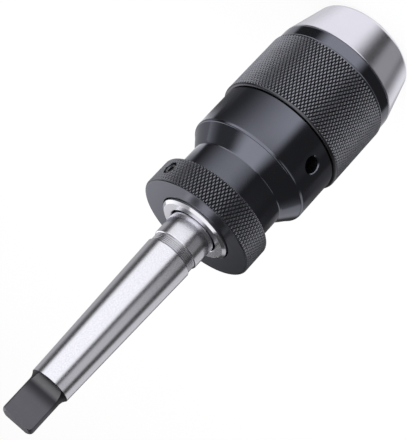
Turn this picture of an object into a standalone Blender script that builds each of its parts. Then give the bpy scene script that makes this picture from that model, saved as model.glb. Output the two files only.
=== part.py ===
# Keyless drill chuck on a Morse taper No. 2 shank.
# The chuck stands on its nose: the nose's front face is Z = 0, and the shank's tang points up.
# Turning the sleeve turns the nose, the jaw guide, the jaws and the drive screw. The screw runs in
# the hub's thread and pushes the three jaws down their inclined grooves, which closes them.

from math import acos, cos, degrees, pi, radians, sin, sqrt, tan

import bmesh
import bpy
from mathutils import Matrix, Vector

MM = 0.001

# Gripping range and jaw travel
JAW_COUNT = 3
OPENING_DIA = 13.0
CLOSED_DIA = 1.08
JAW_ANGLE = radians(17.0)
JAW_SLOPE = sin(JAW_ANGLE) / cos(JAW_ANGLE)
JAW_TRAVEL = (OPENING_DIA - CLOSED_DIA) / 2 / JAW_SLOPE

# Clearances
SEAT_GAP = 0.3
SLIDE_GAP = 0.3
RUN_GAP = 0.5
CUT_MARGIN = 2.0

# Nose cone
NOSE_FACE_RADIUS = 17.95
NOSE_LIP_RADIUS = 2.5
NOSE_LIP_END = -14.0
NOSE_SEAM_STEP = 0.1
NOSE_SEAM_CHAMFER = 0.3
NOSE_LENGTH = 17.85
NOSE_SEAM_GAP = 0.1
NOSE_MOUTH_RADIUS = 11.7
NOSE_MOUTH_CHAMFER = 0.8
NOSE_TUBE_WALL = 2.0
NOSE_TUBE_GAP = 1.0

# Turning sleeve
SLEEVE_WALL = 2.11
BAND_LENGTH = 4.95
BAND_STEP = 0.55
BAND_TAPER = 0.1
BAND_CHAMFER = 0.35
SLEEVE_CHAMFER = 0.8
SLEEVE_TUBE_WALL = 3.5
SLEEVE_SHOULDER = 4.45

# Jaws
JAW_TIP_Z = 1.0
JAW_WIDTH = 8.0
JAW_LAND_HALF = 0.7
JAW_BEVEL = radians(54.0)
JAW_TIP_THICKNESS = 3.5
JAW_BACK_X = 16.2
JAW_RECESS_LENGTH = 11.4
JAW_BODY_LENGTH = 37.55
JAW_RECESS = 2.5
JAW_TIP_CHAMFER = 0.8
JAW_NECK_WIDTH = 5.0
JAW_NECK_HEIGHT = 2.1
JAW_HEAD_HEIGHT = 2.2

# Jaw guide
GUIDE_FRONT_Z = 3.5
GUIDE_BORE_RADIUS = 7.0
GUIDE_HEAD_GAP = 0.5
GUIDE_CHAMFER = 0.6

# Drive screw
SCREW_HEAD_GAP = 0.4
SCREW_PLATE = 3.2
SCREW_STEM_RADIUS = 7.6
SCREW_HEAD_RIM = 0.4
SCREW_EDGE = 0.3

# Thrust bearing
BALL_COUNT = 12
BALL_RADIUS = 1.0
BALL_START = 4.0
BALL_SEAT_GAP = 0.25
RACE_THICKNESS = 0.9
RACE_WIDTH = 3.3
CAGE_THICKNESS = 0.9

# Hub
HUB_CAVITY_WALL = 1.8
HUB_LIP_HEIGHT = 1.3
HUB_SPIGOT_STEP = 3.29
HUB_RING_WALL = 4.25
HUB_RING_EDGE = 0.8
HUB_RING_STAND = 1.4
HUB_RECESS_WIDTH = 0.6
HUB_RECESS_DEPTH = 3.0
HUB_RECESS_CHAMFER = 0.3
HUB_LIP_DROP = 1.1

# Rear body
BODY_STEP = 1.15
BODY_LIP_LENGTH = 2.5
BODY_EDGE = 0.3
BODY_LIP_WALL = 2.7
BODY_LENGTH = 17.9
BODY_SHOULDER_DROP = 0.6
BODY_SHOULDER_ROUND = 2.4
BODY_BORE_STEP = 1.6
NECK_WALL = 2.9
SHOULDER_CONE_LENGTH = 5.75
NECK_LENGTH = 11.95
SPANNER_HOLE_DISTANCE = 8.05
SPANNER_HOLE_RADIUS = 3.0
SPANNER_HOLE_AZIMUTH = -128.0

# Rear grip collar
COLLAR_LENGTH = 11.0
COLLAR_WALL = 3.45
COLLAR_CHAMFER = 0.6
COLLAR_REAR_WALL = 3.0
COLLAR_RING_GAP = 0.35

# Set screw of the collar
SET_SCREW_RADIUS = 2.3
SET_SCREW_DISTANCE = 5.1
SET_SCREW_SOCKET = 1.35
SET_SCREW_SOCKET_DEPTH = 2.2
SET_SCREW_RECESS = 0.45
SET_SCREW_BITE = 1.3
SET_SCREW_AZIMUTH = -27.0

# Shank: Morse taper No. 2 and the short taper in the hub
SHANK_RADIUS = 9.0
GROOVE_RADIUS = 8.45
SHANK_CYLINDER_LENGTH = 9.4
GROOVE_LENGTH = 3.6
GAUGE_DISTANCE = 0.6
MORSE_RADIUS = 8.89
MORSE_TAPER = 1 / 20.02
MORSE_LENGTH = 75.0
SHANK_EDGE = 0.4
TANG_LENGTH = 16.0
TANG_CORNER = 1.3
TANG_THICKNESS = 6.3
TANG_WIDTH = 12.7
TANG_FILLET = 4.0
TANG_AZIMUTH = 7.0
SHORT_TAPER_RADIUS = 7.866
SHORT_TAPER_LENGTH = 23.6
SHORT_TAPER_GAP = 0.3
SHORT_TAPER_END_GAP = 1.0

# Heights and radii that follow
JAW_INNER_X = OPENING_DIA / 2
JAW_BODY_TOP = JAW_TIP_Z + JAW_BODY_LENGTH
JAW_HEAD_Z = JAW_BODY_TOP + JAW_NECK_HEIGHT
JAW_TOP_Z = JAW_HEAD_Z + JAW_HEAD_HEIGHT
JAW_RECESS_X = JAW_INNER_X + JAW_RECESS

SCREW_HEAD_Z = JAW_BODY_TOP + SCREW_HEAD_GAP
SCREW_SLOT_TOP = JAW_TOP_Z + SLIDE_GAP
SCREW_HEAD_TOP = SCREW_SLOT_TOP + SCREW_PLATE
SCREW_HEAD_RADIUS = JAW_BACK_X + SCREW_HEAD_RIM
GUIDE_BACK_Z = SCREW_HEAD_Z - JAW_TRAVEL - GUIDE_HEAD_GAP

HUB_CAVITY_RADIUS = sqrt(JAW_BACK_X ** 2 + (JAW_WIDTH / 2) ** 2) + RUN_GAP
HUB_RADIUS = HUB_CAVITY_RADIUS + HUB_CAVITY_WALL
HUB_THREAD_Z = SCREW_HEAD_TOP + SEAT_GAP
HUB_LIP_Z = JAW_BODY_TOP - HUB_LIP_DROP
HUB_RACE_Z = HUB_LIP_Z + HUB_LIP_HEIGHT

RACE_INNER = HUB_RADIUS + SEAT_GAP
RACE_OUTER = RACE_INNER + RACE_WIDTH
LOWER_RACE_Z = HUB_RACE_Z + SEAT_GAP
BALL_Z = LOWER_RACE_Z + RACE_THICKNESS + BALL_SEAT_GAP + BALL_RADIUS
UPPER_RACE_Z = BALL_Z + BALL_RADIUS + BALL_SEAT_GAP
BALL_CIRCLE = (RACE_INNER + RACE_OUTER) / 2
SLEEVE_SHOULDER_Z = UPPER_RACE_Z + RACE_THICKNESS + SEAT_GAP
SLEEVE_FRONT_Z = NOSE_LENGTH + NOSE_SEAM_GAP
SLEEVE_BACK_Z = SLEEVE_SHOULDER_Z + SLEEVE_SHOULDER + BODY_LIP_LENGTH
SLEEVE_BEARING_RADIUS = RACE_OUTER + SEAT_GAP
SLEEVE_RADIUS = SLEEVE_BEARING_RADIUS + SLEEVE_WALL
SLEEVE_TUBE_RADIUS = SLEEVE_RADIUS - SLEEVE_TUBE_WALL
BAND_BACK_RADIUS = SLEEVE_RADIUS - BAND_STEP
BAND_FRONT_RADIUS = BAND_BACK_RADIUS - BAND_TAPER
NOSE_BACK_RADIUS = BAND_FRONT_RADIUS - NOSE_SEAM_STEP
NOSE_TUBE_RADIUS = SLEEVE_TUBE_RADIUS - SEAT_GAP
NOSE_BORE_RADIUS = NOSE_TUBE_RADIUS - NOSE_TUBE_WALL

BODY_SHOULDER_Z = SLEEVE_BACK_Z + BODY_LENGTH
BODY_BORE_STEP_Z = BODY_SHOULDER_Z - BODY_BORE_STEP
SPANNER_HOLE_Z = SLEEVE_BACK_Z + SPANNER_HOLE_DISTANCE
NECK_START_Z = BODY_SHOULDER_Z + SHOULDER_CONE_LENGTH
COLLAR_FRONT_Z = NECK_START_Z + NECK_LENGTH
COLLAR_BACK_Z = COLLAR_FRONT_Z + COLLAR_LENGTH
COLLAR_WALL_Z = COLLAR_BACK_Z - COLLAR_REAR_WALL
NECK_END_Z = COLLAR_WALL_Z - SEAT_GAP
HUB_RING_Z = COLLAR_BACK_Z + HUB_RING_STAND
HUB_MOUTH_Z = HUB_RING_Z - HUB_RECESS_DEPTH
SHORT_TAPER_END_Z = HUB_MOUTH_Z - SHORT_TAPER_LENGTH
SCREW_STEM_TOP = SHORT_TAPER_END_Z - 2 * SEAT_GAP
HUB_SPIGOT_Z = BODY_BORE_STEP_Z - SEAT_GAP
HUB_SPIGOT_RADIUS = HUB_RADIUS - HUB_SPIGOT_STEP
HUB_RECESS_RADIUS = SHANK_RADIUS + HUB_RECESS_WIDTH
HUB_RING_RADIUS = HUB_RECESS_RADIUS + HUB_RING_WALL
BODY_BORE_RADIUS = HUB_RADIUS + SEAT_GAP
BODY_NECK_BORE = HUB_SPIGOT_RADIUS + SEAT_GAP
BODY_RADIUS = SLEEVE_RADIUS - BODY_STEP
BODY_LIP_RADIUS = BODY_BORE_RADIUS + BODY_LIP_WALL
BODY_SHOULDER_RADIUS = BODY_RADIUS - BODY_SHOULDER_DROP
NECK_RADIUS = BODY_NECK_BORE + NECK_WALL
COLLAR_RADIUS = NECK_RADIUS + SEAT_GAP + COLLAR_WALL
GROOVE_START_Z = HUB_RING_Z + SHANK_CYLINDER_LENGTH
TAPER_START_Z = GROOVE_START_Z + GROOVE_LENGTH
GAUGE_Z = TAPER_START_Z + GAUGE_DISTANCE
SHANK_END_Z = GAUGE_Z + MORSE_LENGTH
TANG_START_Z = SHANK_END_Z - TANG_LENGTH

# Facets round a turned piece
TURN_STEPS = 48
CAGE_STEPS = 64
BORE_STEPS = 24

STEEL_BRIGHT = (0.72, 0.72, 0.74)
STEEL_GROUND = (0.62, 0.63, 0.65)
STEEL_BLACK = (0.03, 0.032, 0.036)
STEEL_GREY = (0.34, 0.35, 0.36)
BRASS = (0.72, 0.52, 0.22)


def material(name, colour, roughness, metallic=1.0):
    """A Principled material in the piece's own colour."""
    made = bpy.data.materials.new(name)
    made.use_nodes = True
    shader = made.node_tree.nodes["Principled BSDF"]
    shader.inputs["Base Color"].default_value = (*colour, 1.0)
    shader.inputs["Roughness"].default_value = roughness
    shader.inputs["Metallic"].default_value = metallic
    made.diffuse_color = (*colour, 1.0)
    return made


def finished(name, mesh_data, finish, sharp=30.0):
    """Turn a bmesh in millimetres into a named object, shaded smooth up to its sharp edges."""
    bmesh.ops.remove_doubles(mesh_data, verts=mesh_data.verts, dist=0.0005)
    bmesh.ops.recalc_face_normals(mesh_data, faces=mesh_data.faces)
    bmesh.ops.scale(mesh_data, vec=(MM, MM, MM), verts=mesh_data.verts)
    mesh = bpy.data.meshes.new(name)
    mesh_data.to_mesh(mesh)
    mesh_data.free()
    mesh.shade_smooth()
    mesh.set_sharp_from_angle(angle=radians(sharp))
    mesh.materials.append(material(name, *finish))
    made = bpy.data.objects.new(name, mesh)
    bpy.context.collection.objects.link(made)
    return made


def arc(centre, radius, start, end, count):
    """Points (r, z) along an arc, angles in degrees from the +r direction."""
    points = []
    for step in range(count + 1):
        angle = radians(start + (end - start) * step / count)
        points.append((centre[0] + radius * cos(angle), centre[1] + radius * sin(angle)))
    return points


def turned(profile, steps=TURN_STEPS):
    """Spin a closed outline of (r, z) points round the Z axis."""
    mesh_data = bmesh.new()
    rings = []
    for radius, height in profile:
        if radius == 0.0:
            rings.append([mesh_data.verts.new((0.0, 0.0, height))] * steps)
            continue
        ring = []
        for step in range(steps):
            angle = 2 * pi * step / steps
            ring.append(mesh_data.verts.new((radius * cos(angle), radius * sin(angle), height)))
        rings.append(ring)
    for index, ring in enumerate(rings):
        following = rings[(index + 1) % len(rings)]
        if ring[0] is ring[1] and following[0] is following[1]:
            continue
        for step in range(steps):
            after = (step + 1) % steps
            corners = [ring[step], ring[after], following[after], following[step]]
            corners = list(dict.fromkeys(corners))
            mesh_data.faces.new(corners)
    return mesh_data


def prism(outline, low, high, place=None):
    """Extrude a closed (x, y) outline from low to high along Z, then place it."""
    mesh_data = bmesh.new()
    verts = [mesh_data.verts.new((x, y, low)) for x, y in outline]
    base = mesh_data.faces.new(verts)
    grown = bmesh.ops.extrude_face_region(mesh_data, geom=[base])
    moved = [item for item in grown["geom"] if isinstance(item, bmesh.types.BMVert)]
    bmesh.ops.translate(mesh_data, vec=(0.0, 0.0, high - low), verts=moved)
    if place is not None:
        bmesh.ops.transform(mesh_data, matrix=place, verts=mesh_data.verts)
    bmesh.ops.recalc_face_normals(mesh_data, faces=mesh_data.faces)
    return mesh_data


def box_outline(low_x, high_x, half_y):
    """A rectangle that runs along +X."""
    return [(low_x, -half_y), (high_x, -half_y), (high_x, half_y), (low_x, half_y)]


def circle_outline(radius, steps=BORE_STEPS):
    """A regular polygon as a round outline."""
    return [(radius * cos(2 * pi * step / steps), radius * sin(2 * pi * step / steps))
            for step in range(steps)]


def radial(azimuth, height, inner):
    """Place a prism so that it points outwards from the axis, starting at the given radius."""
    turn = Matrix.Rotation(radians(azimuth), 4, "Z")
    tip = Matrix.Rotation(radians(90.0), 4, "Y")
    return Matrix.Translation((0.0, 0.0, height)) @ turn @ Matrix.Translation((inner, 0.0, 0.0)) @ tip


def cutter(name, mesh_data):
    """A hidden solid for a Boolean cut."""
    made = finished(name, mesh_data, (STEEL_GREY, 0.5))
    made.hide_render = True
    made.display_type = "WIRE"
    return made


def cut(target, tools):
    """Cut each tool out of the target with a live Boolean."""
    for tool in tools:
        change = target.modifiers.new(tool.name, "BOOLEAN")
        change.operation = "DIFFERENCE"
        change.solver = "EXACT"
        change.object = tool


def jaw_azimuth(index):
    """The direction of each jaw, in degrees."""
    return 360.0 * index / JAW_COUNT


def jaw_back(height):
    """Distance from the axis to the jaw's sloping back, with the jaws open."""
    return JAW_INNER_X + JAW_TIP_THICKNESS + (height - JAW_TIP_Z) * JAW_SLOPE


def nose_bore(height):
    """Radius of the nose's inner cone."""
    return NOSE_MOUTH_RADIUS + height * JAW_SLOPE


def make_nose():
    """Bright front cone: rounded lip, long cone and the threaded tube inside the sleeve."""
    lip = arc((NOSE_FACE_RADIUS, NOSE_LIP_RADIUS), NOSE_LIP_RADIUS, -90.0, NOSE_LIP_END, 6)
    tube_top = HUB_LIP_Z - RUN_GAP - NOSE_TUBE_GAP
    step_z = GUIDE_BACK_Z + SEAT_GAP
    profile = [
        (NOSE_MOUTH_RADIUS + NOSE_MOUTH_CHAMFER, 0.0),
        *lip,
        (NOSE_BACK_RADIUS, NOSE_LENGTH - NOSE_SEAM_CHAMFER),
        (NOSE_BACK_RADIUS - NOSE_SEAM_CHAMFER, NOSE_LENGTH),
        (NOSE_TUBE_RADIUS, NOSE_LENGTH),
        (NOSE_TUBE_RADIUS, tube_top),
        (NOSE_BORE_RADIUS, tube_top),
        (NOSE_BORE_RADIUS, step_z),
        (nose_bore(step_z), step_z),
        (nose_bore(NOSE_MOUTH_CHAMFER), NOSE_MOUTH_CHAMFER),
    ]
    return finished("nose", turned(profile), (STEEL_BRIGHT, 0.3))


def make_sleeve():
    """Turning sleeve: smooth band in front, knurled length behind, bearing shoulder inside."""
    band_end = SLEEVE_FRONT_Z + BAND_LENGTH
    shoulder_radius = HUB_RADIUS + RUN_GAP
    profile = [
        (BAND_FRONT_RADIUS - BAND_CHAMFER, SLEEVE_FRONT_Z),
        (BAND_FRONT_RADIUS, SLEEVE_FRONT_Z + BAND_CHAMFER),
        (BAND_BACK_RADIUS, band_end),
        (SLEEVE_RADIUS, band_end + SLEEVE_CHAMFER),
        (SLEEVE_RADIUS, SLEEVE_BACK_Z - SLEEVE_CHAMFER),
        (SLEEVE_RADIUS - SLEEVE_CHAMFER, SLEEVE_BACK_Z),
        (BODY_LIP_RADIUS + RUN_GAP, SLEEVE_BACK_Z),
        (BODY_LIP_RADIUS + RUN_GAP, SLEEVE_SHOULDER_Z + SLEEVE_SHOULDER),
        (shoulder_radius, SLEEVE_SHOULDER_Z + SLEEVE_SHOULDER),
        (shoulder_radius, SLEEVE_SHOULDER_Z),
        (SLEEVE_BEARING_RADIUS, SLEEVE_SHOULDER_Z),
        (SLEEVE_BEARING_RADIUS, HUB_LIP_Z - RUN_GAP),
        (SLEEVE_TUBE_RADIUS, HUB_LIP_Z - RUN_GAP),
        (SLEEVE_TUBE_RADIUS, SLEEVE_FRONT_Z),
    ]
    return finished("sleeve", turned(profile, CAGE_STEPS), (STEEL_BLACK, 0.42))


def make_jaw_guide():
    """Cone in the nose with three inclined, flat-floored grooves that carry the jaws."""
    front, back = GUIDE_FRONT_Z, GUIDE_BACK_Z
    profile = [
        (GUIDE_BORE_RADIUS + GUIDE_CHAMFER, front),
        (nose_bore(front) - SEAT_GAP, front),
        (nose_bore(back) - SEAT_GAP, back),
        (GUIDE_BORE_RADIUS, back),
        (GUIDE_BORE_RADIUS, front + GUIDE_CHAMFER),
    ]
    guide = finished("jaw_guide", turned(profile), (STEEL_GREY, 0.35))
    low, high = front - CUT_MARGIN, back + CUT_MARGIN
    side = [(0.0, low), (jaw_back(low) + SLIDE_GAP, low), (jaw_back(high) + SLIDE_GAP, high), (0.0, high)]
    half = JAW_WIDTH / 2 + SLIDE_GAP
    upright = Matrix.Rotation(radians(90.0), 4, "X")
    for index in range(JAW_COUNT):
        turn = Matrix.Rotation(radians(jaw_azimuth(index)), 4, "Z")
        groove = cutter(f"cut_guide_groove_{index + 1}", prism(side, -half, half, turn @ upright))
        cut(guide, [groove])
    return guide


def make_jaws():
    """Three jaws: narrow gripping land, bevelled sides, sloping back, neck and T-head."""
    half = JAW_WIDTH / 2
    recess_start = JAW_BODY_TOP - JAW_RECESS_LENGTH
    slope_top = JAW_TIP_Z + (JAW_BACK_X - JAW_INNER_X - JAW_TIP_THICKNESS) / JAW_SLOPE
    side = [
        (JAW_INNER_X + JAW_TIP_CHAMFER, JAW_TIP_Z),
        (jaw_back(JAW_TIP_Z), JAW_TIP_Z),
        (JAW_BACK_X, slope_top),
        (JAW_BACK_X, JAW_TOP_Z),
        (JAW_RECESS_X, JAW_TOP_Z),
        (JAW_RECESS_X, recess_start + JAW_RECESS),
        (JAW_INNER_X, recess_start),
        (JAW_INNER_X, JAW_TIP_Z + JAW_TIP_CHAMFER),
    ]
    upright = Matrix.Rotation(radians(90.0), 4, "X")
    bevel_slope = tan(JAW_BEVEL)
    reach = half + CUT_MARGIN
    flank = [(JAW_INNER_X - CUT_MARGIN, JAW_LAND_HALF - CUT_MARGIN * bevel_slope),
             (JAW_INNER_X + reach / bevel_slope, JAW_LAND_HALF + reach),
             (JAW_INNER_X - CUT_MARGIN, JAW_LAND_HALF + reach)]
    low_x, high_x = JAW_RECESS_X - CUT_MARGIN, JAW_BACK_X + CUT_MARGIN
    neck = [(low_x, JAW_NECK_WIDTH / 2), (high_x, JAW_NECK_WIDTH / 2), (high_x, reach), (low_x, reach)]
    made = []
    for index in range(JAW_COUNT):
        name = f"jaw_{index + 1}"
        turn = Matrix.Rotation(radians(jaw_azimuth(index)), 4, "Z")
        jaw = finished(name, prism(side, -half, half, turn @ upright), (STEEL_GREY, 0.3))
        flip = Matrix.Scale(-1.0, 4, (0.0, 1.0, 0.0))
        low, high = JAW_TIP_Z - CUT_MARGIN, recess_start + JAW_RECESS + SEAT_GAP
        for side_name, place in (("left", turn), ("right", turn @ flip)):
            bevel = cutter(f"cut_{name}_bevel_{side_name}", prism(flank, low, high, place))
            waist = cutter(f"cut_{name}_neck_{side_name}", prism(neck, JAW_BODY_TOP, JAW_HEAD_Z, place))
            cut(jaw, [bevel, waist])
        made.append(jaw)
    return made


def make_drive_screw():
    """Head with three radial T-slots for the jaws, on the stem that carries the thread."""
    profile = [
        (0.0, SCREW_HEAD_Z),
        (SCREW_HEAD_RADIUS - SCREW_EDGE, SCREW_HEAD_Z),
        (SCREW_HEAD_RADIUS, SCREW_HEAD_Z + SCREW_EDGE),
        (SCREW_HEAD_RADIUS, SCREW_HEAD_TOP - 2 * SCREW_EDGE),
        (SCREW_HEAD_RADIUS - 2 * SCREW_EDGE, SCREW_HEAD_TOP),
        (SCREW_STEM_RADIUS, SCREW_HEAD_TOP),
        (SCREW_STEM_RADIUS, SCREW_STEM_TOP - 3 * SCREW_EDGE),
        (SCREW_STEM_RADIUS - 3 * SCREW_EDGE, SCREW_STEM_TOP),
        (0.0, SCREW_STEM_TOP),
    ]
    screw = finished("drive_screw", turned(profile), (STEEL_GREY, 0.35))
    inner = JAW_RECESS_X - JAW_TRAVEL * JAW_SLOPE - SLIDE_GAP
    outer = SCREW_HEAD_RADIUS + CUT_MARGIN
    neck_half = JAW_NECK_WIDTH / 2 + SLIDE_GAP
    head_half = JAW_WIDTH / 2 + SLIDE_GAP
    for index in range(JAW_COUNT):
        turn = Matrix.Rotation(radians(jaw_azimuth(index)), 4, "Z")
        slot = prism(box_outline(inner, outer, neck_half), SCREW_HEAD_Z - CUT_MARGIN, JAW_HEAD_Z, turn)
        chamber = prism(box_outline(inner, outer, head_half), JAW_HEAD_Z - SLIDE_GAP, SCREW_SLOT_TOP, turn)
        cut(screw, [cutter(f"cut_screw_slot_{index + 1}", slot),
                    cutter(f"cut_screw_chamber_{index + 1}", chamber)])
    return screw


def make_hub():
    """Hub: cavity for the screw's head, bearing lip, thread bore, short taper bore and rear ring."""
    edge = HUB_RING_EDGE
    taper_end = SHORT_TAPER_RADIUS - SHORT_TAPER_LENGTH * MORSE_TAPER / 2
    profile = [
        (HUB_CAVITY_RADIUS, HUB_LIP_Z),
        (RACE_OUTER, HUB_LIP_Z),
        (RACE_OUTER, HUB_RACE_Z),
        (HUB_RADIUS, HUB_RACE_Z),
        (HUB_RADIUS, HUB_SPIGOT_Z),
        (HUB_SPIGOT_RADIUS, HUB_SPIGOT_Z),
        (HUB_SPIGOT_RADIUS, NECK_END_Z - SEAT_GAP),
        (HUB_RING_RADIUS, NECK_END_Z - SEAT_GAP),
        *arc((HUB_RING_RADIUS - edge, HUB_RING_Z - edge), edge, 0.0, 90.0, 3),
        (HUB_RECESS_RADIUS + HUB_RECESS_CHAMFER, HUB_RING_Z),
        (HUB_RECESS_RADIUS, HUB_RING_Z - HUB_RECESS_CHAMFER),
        (HUB_RECESS_RADIUS, HUB_MOUTH_Z),
        (SHORT_TAPER_RADIUS + SHORT_TAPER_GAP, HUB_MOUTH_Z),
        (taper_end + SHORT_TAPER_GAP, SHORT_TAPER_END_Z),
        (SCREW_STEM_RADIUS + SEAT_GAP, SHORT_TAPER_END_Z),
        (SCREW_STEM_RADIUS + SEAT_GAP, HUB_THREAD_Z),
        (HUB_CAVITY_RADIUS, HUB_THREAD_Z),
    ]
    return finished("screw_hub", turned(profile), (STEEL_GROUND, 0.3))


def race_ring(name, low):
    """One washer of the thrust bearing."""
    high = low + RACE_THICKNESS
    profile = [(RACE_INNER, low), (RACE_OUTER, low), (RACE_OUTER, high), (RACE_INNER, high)]
    return finished(name, turned(profile), (STEEL_GROUND, 0.2))


def make_bearing():
    """Thrust bearing between the hub's lip and the sleeve's shoulder."""
    race_ring("lower_race", LOWER_RACE_Z)
    race_ring("upper_race", UPPER_RACE_Z)
    low, high = BALL_Z - CAGE_THICKNESS / 2, BALL_Z + CAGE_THICKNESS / 2
    inner, outer = RACE_INNER, RACE_OUTER
    profile = [(inner, low), (outer, low), (outer, high), (inner, high)]
    cage = finished("ball_cage", turned(profile, CAGE_STEPS), (BRASS, 0.35))
    pocket_radius = BALL_RADIUS + BALL_SEAT_GAP
    for index in range(BALL_COUNT):
        angle = radians(BALL_START + 360.0 * index / BALL_COUNT)
        centre = Vector((BALL_CIRCLE * cos(angle), BALL_CIRCLE * sin(angle), 0.0))
        place = Matrix.Translation(centre)
        pocket = prism(circle_outline(pocket_radius, 12), low - CUT_MARGIN, high + CUT_MARGIN, place)
        cut(cage, [cutter(f"cut_cage_pocket_{index + 1:02d}", pocket)])
        ball = bmesh.new()
        seat = Matrix.Translation(centre + Vector((0.0, 0.0, BALL_Z)))
        bmesh.ops.create_icosphere(ball, subdivisions=1, radius=BALL_RADIUS, matrix=seat)
        finished(f"ball_{index + 1:02d}", ball, (STEEL_GROUND, 0.12), 60.0)


def make_rear_body():
    """Black body: lip under the sleeve, cylinder, rounded shoulder, cone and neck."""
    lip_z = SLEEVE_BACK_Z + SEAT_GAP
    round_start = BODY_SHOULDER_Z - BODY_SHOULDER_ROUND
    round_drop = BODY_RADIUS - BODY_SHOULDER_RADIUS
    shoulder = [(BODY_RADIUS - round_drop * (1 - cos(radians(turn))),
                 round_start + BODY_SHOULDER_ROUND * sin(radians(turn))) for turn in (0, 30, 60, 90)]
    profile = [
        (BODY_BORE_RADIUS, lip_z - BODY_LIP_LENGTH),
        (BODY_LIP_RADIUS, lip_z - BODY_LIP_LENGTH),
        (BODY_LIP_RADIUS, lip_z),
        (BODY_RADIUS - BODY_EDGE, lip_z),
        (BODY_RADIUS, lip_z + BODY_EDGE),
        *shoulder,
        (NECK_RADIUS + BODY_EDGE, NECK_START_Z - BODY_EDGE / 2),
        (NECK_RADIUS, NECK_START_Z + 2 * BODY_EDGE),
        (NECK_RADIUS, NECK_END_Z),
        (BODY_NECK_BORE, NECK_END_Z),
        (BODY_NECK_BORE, BODY_BORE_STEP_Z),
        (BODY_BORE_RADIUS, BODY_BORE_STEP_Z),
    ]
    body = finished("rear_body", turned(profile), (STEEL_BLACK, 0.12))
    reach = BODY_RADIUS - BODY_BORE_RADIUS + CUT_MARGIN
    hole = prism(circle_outline(SPANNER_HOLE_RADIUS), -CUT_MARGIN, reach,
                 radial(SPANNER_HOLE_AZIMUTH, SPANNER_HOLE_Z, BODY_BORE_RADIUS))
    seat = prism(circle_outline(SET_SCREW_RADIUS + SEAT_GAP), 0.0, SET_SCREW_BITE + CUT_MARGIN,
                 radial(SET_SCREW_AZIMUTH, set_screw_height(), NECK_RADIUS - SET_SCREW_BITE))
    cut(body, [cutter("cut_spanner_hole", hole), cutter("cut_screw_seat", seat)])
    return body


def set_screw_height():
    """Height of the set screw's axis in the collar."""
    return COLLAR_FRONT_Z + SET_SCREW_DISTANCE


def make_collar():
    """Rear grip collar with its set screw."""
    chamfer = COLLAR_CHAMFER
    inner = NECK_RADIUS + SEAT_GAP
    profile = [
        (inner, COLLAR_FRONT_Z),
        (COLLAR_RADIUS - chamfer, COLLAR_FRONT_Z),
        (COLLAR_RADIUS, COLLAR_FRONT_Z + chamfer),
        (COLLAR_RADIUS, COLLAR_BACK_Z - chamfer),
        (COLLAR_RADIUS - chamfer, COLLAR_BACK_Z),
        (HUB_RING_RADIUS + COLLAR_RING_GAP, COLLAR_BACK_Z),
        (HUB_RING_RADIUS + COLLAR_RING_GAP, COLLAR_WALL_Z),
        (inner, COLLAR_WALL_Z),
    ]
    collar = finished("grip_collar", turned(profile), (STEEL_BLACK, 0.4))
    hole = prism(circle_outline(SET_SCREW_RADIUS + SEAT_GAP), -CUT_MARGIN, COLLAR_WALL + CUT_MARGIN,
                 radial(SET_SCREW_AZIMUTH, set_screw_height(), inner))
    cut(collar, [cutter("cut_collar_hole", hole)])

    start = NECK_RADIUS - SET_SCREW_BITE + SEAT_GAP
    place = radial(SET_SCREW_AZIMUTH, set_screw_height(), start)
    length = COLLAR_RADIUS - SET_SCREW_RECESS - start
    screw = finished("collar_set_screw", prism(circle_outline(SET_SCREW_RADIUS), 0.0, length, place),
                     (STEEL_GREY, 0.35))
    socket = prism(circle_outline(SET_SCREW_SOCKET, 6), length - SET_SCREW_SOCKET_DEPTH,
                   length + CUT_MARGIN, place)
    cut(screw, [cutter("cut_set_screw_socket", socket)])
    return collar


def make_shank():
    """Arbor: short taper, cylinder, groove, Morse taper and tang."""
    edge = SHANK_EDGE
    short_start = SHORT_TAPER_END_Z + SHORT_TAPER_END_GAP
    short_end = SHORT_TAPER_RADIUS - (HUB_MOUTH_Z - short_start) * MORSE_TAPER / 2
    seat_z = HUB_MOUTH_Z + SEAT_GAP
    corner = TANG_CORNER
    fillet = TANG_FILLET
    tang_radius = TANG_WIDTH / 2
    small_end = MORSE_RADIUS - (TANG_START_Z - TAPER_START_Z) * MORSE_TAPER / 2
    fillet_drop = fillet - (small_end - tang_radius)
    fillet_rise = sqrt(fillet ** 2 - fillet_drop ** 2)
    fillet_turn = degrees(acos(fillet_drop / fillet))
    profile = [
        (0.0, short_start),
        (short_end, short_start),
        (SHORT_TAPER_RADIUS, HUB_MOUTH_Z),
        (SHORT_TAPER_RADIUS, seat_z),
        (SHANK_RADIUS - edge, seat_z),
        (SHANK_RADIUS, seat_z + edge),
        (SHANK_RADIUS, GROOVE_START_Z - edge),
        (GROOVE_RADIUS, GROOVE_START_Z),
        (GROOVE_RADIUS, TAPER_START_Z - edge),
        (MORSE_RADIUS, TAPER_START_Z),
        *arc((tang_radius + fillet, TANG_START_Z + fillet_rise), fillet, 180.0 + fillet_turn, 180.0, 4),
        *arc((tang_radius - corner, SHANK_END_Z - corner), corner, 0.0, 90.0, 4),
        (0.0, SHANK_END_Z),
    ]
    shank = finished("shank_arbor", turned(profile), (STEEL_GROUND, 0.15))

    # The tang keeps a slab of its own thickness; each side sweeps out to the taper's end in one radius.
    half = TANG_THICKNESS / 2
    wide = MORSE_RADIUS + CUT_MARGIN
    sweep = arc((half + fillet, TANG_START_Z + fillet), fillet, 180.0, 270.0, 8)
    top = SHANK_END_Z + CUT_MARGIN
    side = [*sweep, (wide + fillet, TANG_START_Z), (wide + fillet, top), (half, top)]
    upright = Matrix.Rotation(radians(90.0), 4, "X")
    for number, facing in enumerate((0.0, 180.0), start=1):
        turn = Matrix.Rotation(radians(TANG_AZIMUTH - 90.0 + facing), 4, "Z")
        flat = prism(side, -wide, wide, turn @ upright)
        cut(shank, [cutter(f"cut_tang_flat_{number}", flat)])
    return shank


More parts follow.
